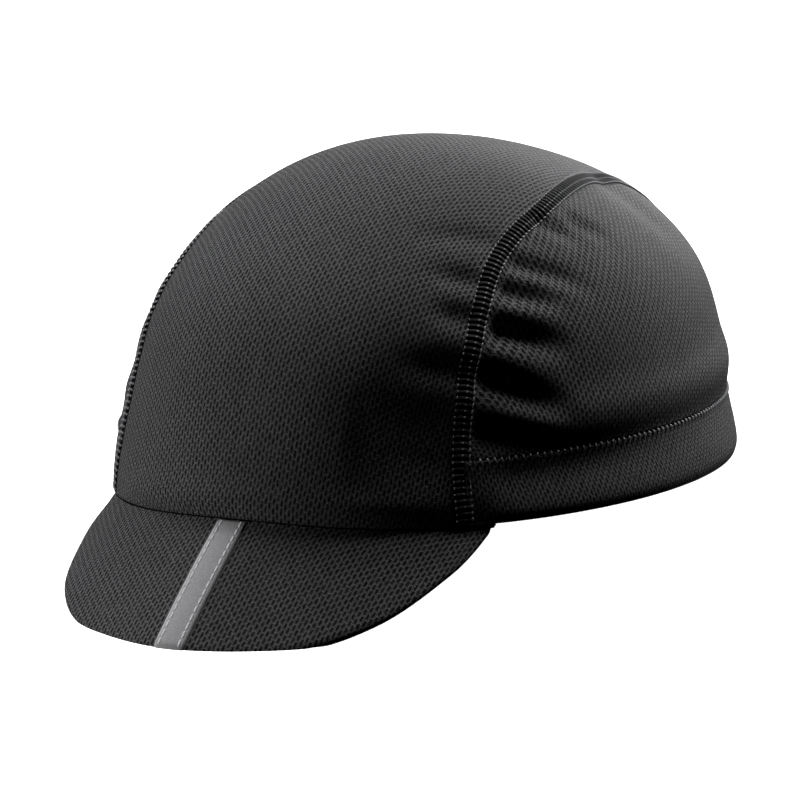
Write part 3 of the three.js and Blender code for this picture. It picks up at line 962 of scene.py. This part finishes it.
def seam_frame(over, side):
    """The seam's directions, and the unit steps out from it on the unit dome."""
    step = 0.2
    here = by_over(over, seam_half(over))
    ahead = by_over(over + step, seam_half(over + step))
    behind = by_over(over - step, seam_half(over - step))
    tangent = unit(ahead - behind)
    outward = unit(np.cross(tangent, here))
    mirror = np.array([side, 1.0, 1.0])
    return here * mirror, outward * mirror


def seam_point(over, side, across, lift):
    """A place over the seam: across in millimetres towards the side panel, lift above the cloth."""
    over, across, lift = np.broadcast_arrays(*(np.asarray(x, float) for x in (over, across, lift)))
    here, outward = seam_frame(over, side)
    step = math.radians(1.0)
    scale = np.linalg.norm(smooth_crown(unit(here + outward * step)) - smooth_crown(here), axis=-1) / step
    direction = unit(here + outward * (across / scale)[..., None])
    return crown_surface(direction, lift), crown_normal(direction)


def seam_stations(pitch):
    """Angles over the head at equal lengths along the seam."""
    over = np.linspace(1.0, over_where(BAND_RISE + FOOT_RISE, 180), 900)
    path, _ = seam_point(over, 1, 0.0, 0.0)
    length = run_length(path)
    return np.interp(np.arange(0.5, length[-1] - pitch / 3, pitch), length, over)


def seam_bed(side, name, material):
    """The joined edges under the stitches: a low ridge, painted near-black as the shade of the seam's
    recess.
    """
    over = np.linspace(0.6, over_where(BAND_RISE + FOOT_RISE, 180), 420)
    across = np.linspace(-SEAM_HALF_WIDTH, SEAM_HALF_WIDTH, 11)
    ridge = 1 - (across / SEAM_HALF_WIDTH) ** 4
    outer, _ = seam_point(over[:, None], side, across[None], 0.02 + 0.06 * ridge[None])
    inner, _ = seam_point(over[:, None], side, across[None], -0.4)
    flip = slice(None, None, side)
    weave = np.stack(np.broadcast_arrays(across[None] * side, over[:, None]), -1)
    made = thick_sheet(f"{name}_bed", outer[:, flip], inner[:, flip], weave[:, flip])
    dress(made, material)


def backing(name, turn, height, depth, material):
    """A turned-in edge behind a seam, from a row of turns, heights and depths. With the near-black cloth
    it shows in the gaps between the pieces as a painted shadow line.
    """
    depth = np.broadcast_to(np.asarray(depth, float), height.shape)[:, None]
    direction = by_turn(turn[None, :], np.degrees(np.arcsin(height / CROWN_HEIGHT))[:, None])
    outer = crown_surface(direction, -depth)
    inner = crown_surface(direction, -depth - EDGE_WALL)
    weave = np.stack(np.broadcast_arrays(turn[None, :], height[:, None]), -1)
    made = thick_sheet(name, outer, inner, weave)
    dress(made, material)


def seam_threads(side, name, rows, thread, material):
    """One kind of thread over a whole seam."""
    over = seam_stations(SEAM_PITCH)
    step = np.gradient(over)
    share = np.linspace(0, 1, 7)
    paths, normals = [], []
    for across, at, to_across, to_at in rows:
        where = over[:, None] + step[:, None] * (at + (to_at - at) * share)
        sideways = across + (to_across - across) * share
        lift = thread["lift"] + thread["arch"] * np.sin(share * np.pi)
        path, normal = seam_point(where, side, sideways[None], lift[None])
        paths.append(path)
        normals.append(normal)
    made = threads(name, np.concatenate(paths), np.concatenate(normals), thread["radius"])
    dress(made, material)


def strip_stitches(material):
    """Two rows of lockstitch along the tape, pressed flat into it."""
    pitch = TAPE_STITCH["length"] + TAPE_STITCH["gap"]
    share = np.linspace(0, 1, 8)
    start = TAPE_STITCH["start"] + np.arange(int(STRIP_LENGTH / pitch)) * pitch / STRIP_LENGTH
    along = start[:, None] + share[None] * TAPE_STITCH["length"] / STRIP_LENGTH
    slant = TAPE_STITCH["slant"] * (share - 0.5)[None]
    lift = TAPE_THICKNESS + TAPE_STITCH["arch"] * np.sin(share * np.pi) ** 0.5
    reach = STRIP_WIDTH / 2 - TAPE_STITCH["inset"]
    paths = np.concatenate([strip_point(across + slant, along, lift[None]) for across in (-reach, reach)])
    normals = np.concatenate([peak_normal(np.zeros_like(along), along)] * 2)
    made = threads("strip_stitches", paths, normals, TAPE_THREAD["radius"], TAPE_THREAD["flatten"])
    dress(made, material)


def band_stitches(material):
    """The cover stitch's tips along the band's upper edge."""
    start = SEAM_HALF[0] + BAND_STITCH["start"]
    turn = np.linspace(start, 360 - start, 3000)
    length = run_length(smooth_crown(by_turn(turn, BAND_RISE)))
    at = np.interp(np.arange(0, length[-1], BAND_STITCH["pitch"]), length, turn)
    share = np.linspace(0, 1, 6)
    from_front = np.where(at > 180, at - 360, at)[:, None]
    height = BAND_HEIGHT - BAND_STITCH["below"] + BAND_STITCH["length"] * share
    rise = np.degrees(np.arcsin(height / CROWN_HEIGHT))
    direction = by_turn(at[:, None] + BAND_STITCH["slant"] * (share - 0.5)[None], rise[None])
    section_row = np.interp(height / BAND_HEIGHT, (0.7, 1.0), (9, 10))
    roll = smooth_through([row[2] for row in BAND_SECTION], section_row)
    out = BAND_THICKNESS * roll[None] * band_roll(from_front) - waist_at(from_front, height[None])
    out = out + BAND_THREAD["lift"] + BAND_THREAD["arch"] * np.sin(share * np.pi)[None]
    normals = crown_normal(direction)
    paths = smooth_crown(direction) + normals * out[..., None]
    made = threads("band_stitches", paths, normals, BAND_THREAD["radius"])
    dress(made, material)


# Camera, lights and floor


def camera():
    """The camera at the photo's angle."""
    turn, rise, roll = (math.radians(a) for a in (CAMERA_TURN, CAMERA_RISE, CAMERA_ROLL))
    back = np.array([math.sin(turn) * math.cos(rise), -math.cos(turn) * math.cos(rise), math.sin(rise)])
    level = np.array([math.cos(turn), math.sin(turn), 0.0])
    upright = np.cross(back, level)
    right = level * math.cos(roll) + upright * math.sin(roll)
    up = upright * math.cos(roll) - level * math.sin(roll)
    eye = np.array(CAMERA_AIM) + right * CAMERA_OFFSET[0] + up * CAMERA_OFFSET[1] + back * CAMERA_DISTANCE
    data = bpy.data.cameras.new("camera")
    data.sensor_width = SENSOR_WIDTH
    data.lens = PIXELS_PER_MM * CAMERA_DISTANCE / PICTURE_WIDTH * SENSOR_WIDTH
    data.clip_start, data.clip_end = 0.05, 50.0
    made = bpy.data.objects.new("camera", data)
    axes = Matrix([direction_to_frame(v) for v in (right, up, back)]).transposed()
    made.matrix_world = Matrix.Translation(Vector(to_frame_free(eye))) @ axes.to_4x4()
    bpy.context.scene.collection.objects.link(made)
    bpy.context.scene.camera = made


def area_light(name, distance, azimuth, elevation, width, height, power):
    """A soft box that faces the cap."""
    a, e = math.radians(azimuth), math.radians(elevation)
    out = Vector((math.sin(a) * math.cos(e), -math.cos(a) * math.cos(e), math.sin(e)))
    data = bpy.data.lights.new(name, "AREA")
    data.shape = "RECTANGLE"
    data.size, data.size_y = width, height
    data.energy = power
    made = bpy.data.objects.new(name, data)
    made.location = Vector(LIGHT_AIM) + out * distance
    made.rotation_euler = out.to_track_quat("Z", "Y").to_euler()
    bpy.context.scene.collection.objects.link(made)
    return made


def floor():
    """A white table. It throws no light back up, as if black card lay under the cap."""
    mesh = bpy.data.meshes.new("floor")
    far = 12.0
    mesh.from_pydata([(-far, -far, 0), (far, -far, 0), (far, far, 0), (-far, far, 0)], [], [(0, 1, 2, 3)])
    made = bpy.data.objects.new("floor", mesh)
    n = Nodes("floor")
    n.shader.inputs["Base Color"].default_value = (0.86, 0.86, 0.86, 1)
    n.finish(0.9, 0.1)
    mesh.materials.append(n.material)
    bpy.context.scene.collection.objects.link(made)
    made.visible_diffuse = False
    made.visible_glossy = False
    return made


def studio(table):
    """Soft boxes behind and beside the cap, none beside the camera, and a wash for the table alone."""
    world = bpy.data.worlds.new("studio")
    world.use_nodes = True
    background = world.node_tree.nodes["Background"]
    background.inputs["Color"].default_value = (1, 1, 1, 1)
    path = world.node_tree.nodes.new("ShaderNodeLightPath")
    world.node_tree.links.new(path.outputs["Is Camera Ray"], background.inputs["Strength"])
    bpy.context.scene.world = world
    for name, row in LIGHTS.items():
        area_light(name, LIGHT_DISTANCE, *row)
    wash = area_light("table_wash", TABLE_WASH_DISTANCE, *TABLE_WASH)
    only_table = bpy.data.collections.new("table_alone")
    only_table.objects.link(table)
    wash.light_linking.receiver_collection = only_table
    wash.data.use_shadow = False
    view = bpy.context.scene.view_settings
    view.view_transform = "Standard"
    view.look = "None"


camera()
studio(floor())
cloth = cloth_material("crown_cloth")
dark_thread = thread_material("dark_thread", 0.14)
# Black threads painted light grey as a painted highlight: their sheen on the seams and the band's cover
# stitch.
light_thread = thread_material("light_thread", 0.85)
strip_thread = thread_material("strip_thread", 0.95)
# Near-black painted shade for the seams' beds and the turned-in edges, which stand where the seams and
# gaps are only in shade.
painted_shade_cloth = plain_material("painted_shade_cloth", 0.0015)
centre_panel(cloth)
side_panel(1, "side_panel_left", cloth)
side_panel(-1, "side_panel_right", cloth)
rear_band(cloth_material("band_cloth"))
peak(cloth_material("peak_cloth"))
reflective_strip(tape_material())
for side, name in ((1, "seam_left"), (-1, "seam_right")):
    seam_bed(side, name, painted_shade_cloth)
    seam_threads(side, f"{name}_cross_threads", CROSS_THREADS, CROSS_THREAD, dark_thread)
    seam_threads(side, f"{name}_sheen_threads", SHEEN_THREADS, SHEEN_THREAD, light_thread)
# Both turned-in edges are painted near-black: painted shade where the gaps over the band and under the hem
# show through.
backing("band_edge", *BAND_EDGE, painted_shade_cloth)
backing("peak_edge", *PEAK_EDGE, painted_shade_cloth)
strip_stitches(strip_thread)
band_stitches(light_thread)
